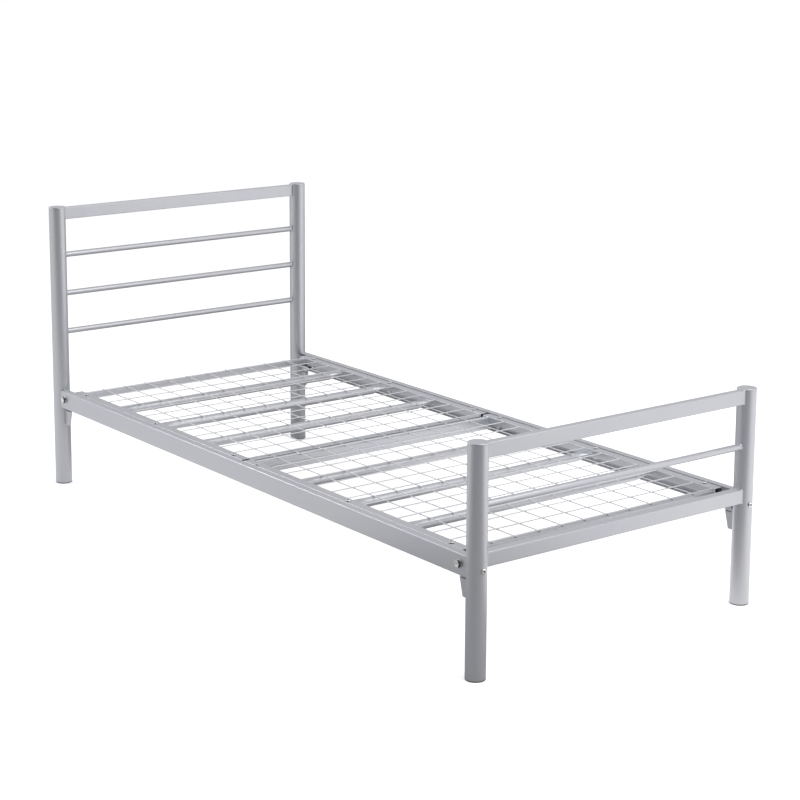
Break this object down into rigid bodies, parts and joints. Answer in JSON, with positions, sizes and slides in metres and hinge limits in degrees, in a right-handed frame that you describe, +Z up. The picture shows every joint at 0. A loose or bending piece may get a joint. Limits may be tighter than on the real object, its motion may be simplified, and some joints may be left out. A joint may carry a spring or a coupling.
{
  "type": "metal bed frame",
  "caption": "Single metal bed frame with round posts, barred headboard and footboard, C-section side rails and a deck of tube slats and wire mesh.",
  "frame": {"origin": "on the floor, under the middle of the frame", "axes": "+Y towards the headboard, +X to the right seen from the footboard, +Z up"},
  "size_m": [0.951, 2.109, 0.881],
  "materials": {
    "silver_paint": "satin silver powder coat",
    "wire_paint": "satin silver powder coat on welded wire",
    "zinc": "bright zinc plate",
    "glide_plastic": "moulded, matt"
  },
  "bodies": {
    "root": {"bracket_foot_left": "silver_paint", "bracket_foot_right": "silver_paint", "bracket_head_left": "silver_paint", "bracket_head_right": "silver_paint", "centre_cross_rail": "silver_paint", "deck_bolt_left_1": "zinc", "deck_bolt_left_2": "zinc", "deck_bolt_left_3": "zinc", "deck_bolt_left_4": "zinc", "deck_bolt_left_5": "zinc", "deck_bolt_left_6": "zinc", "deck_bolt_right_1": "zinc", "deck_bolt_right_2": "zinc", "deck_bolt_right_3": "zinc", "deck_bolt_right_4": "zinc", "deck_bolt_right_5": "zinc", "deck_bolt_right_6": "zinc", "foot_bar": "silver_paint", "foot_lower_rail": "silver_paint", "foot_panel_inner_end": "silver_paint", "foot_panel_mesh": "wire_paint", "foot_panel_outer_end": "silver_paint", "foot_panel_side_left": "silver_paint", "foot_panel_side_right": "silver_paint", "foot_panel_slat_1": "silver_paint", "foot_panel_slat_2": "silver_paint", "foot_panel_slat_3": "silver_paint", "foot_post_left": "silver_paint", "foot_post_right": "silver_paint", "foot_top_rail": "silver_paint", "glide_foot_left": "glide_plastic", "glide_foot_right": "glide_plastic", "glide_head_left": "glide_plastic", "glide_head_right": "glide_plastic", "head_bar_lower": "silver_paint", "head_bar_middle": "silver_paint", "head_bar_upper": "silver_paint", "head_panel_inner_end": "silver_paint", "head_panel_mesh": "wire_paint", "head_panel_outer_end": "silver_paint", "head_panel_side_left": "silver_paint", "head_panel_side_right": "silver_paint", "head_panel_slat_1": "silver_paint", "head_panel_slat_2": "silver_paint", "head_panel_slat_3": "silver_paint", "head_post_left": "silver_paint", "head_post_right": "silver_paint", "head_top_rail": "silver_paint", "post_bolt_foot_left": "zinc", "post_bolt_foot_right": "zinc", "post_bolt_head_left": "zinc", "post_bolt_head_right": "zinc", "side_rail_left": "silver_paint", "side_rail_right": "silver_paint", "web_bolt_foot_left": "zinc", "web_bolt_foot_right": "zinc", "web_bolt_head_left": "zinc", "web_bolt_head_right": "zinc"}
  },
  "joints": []
}
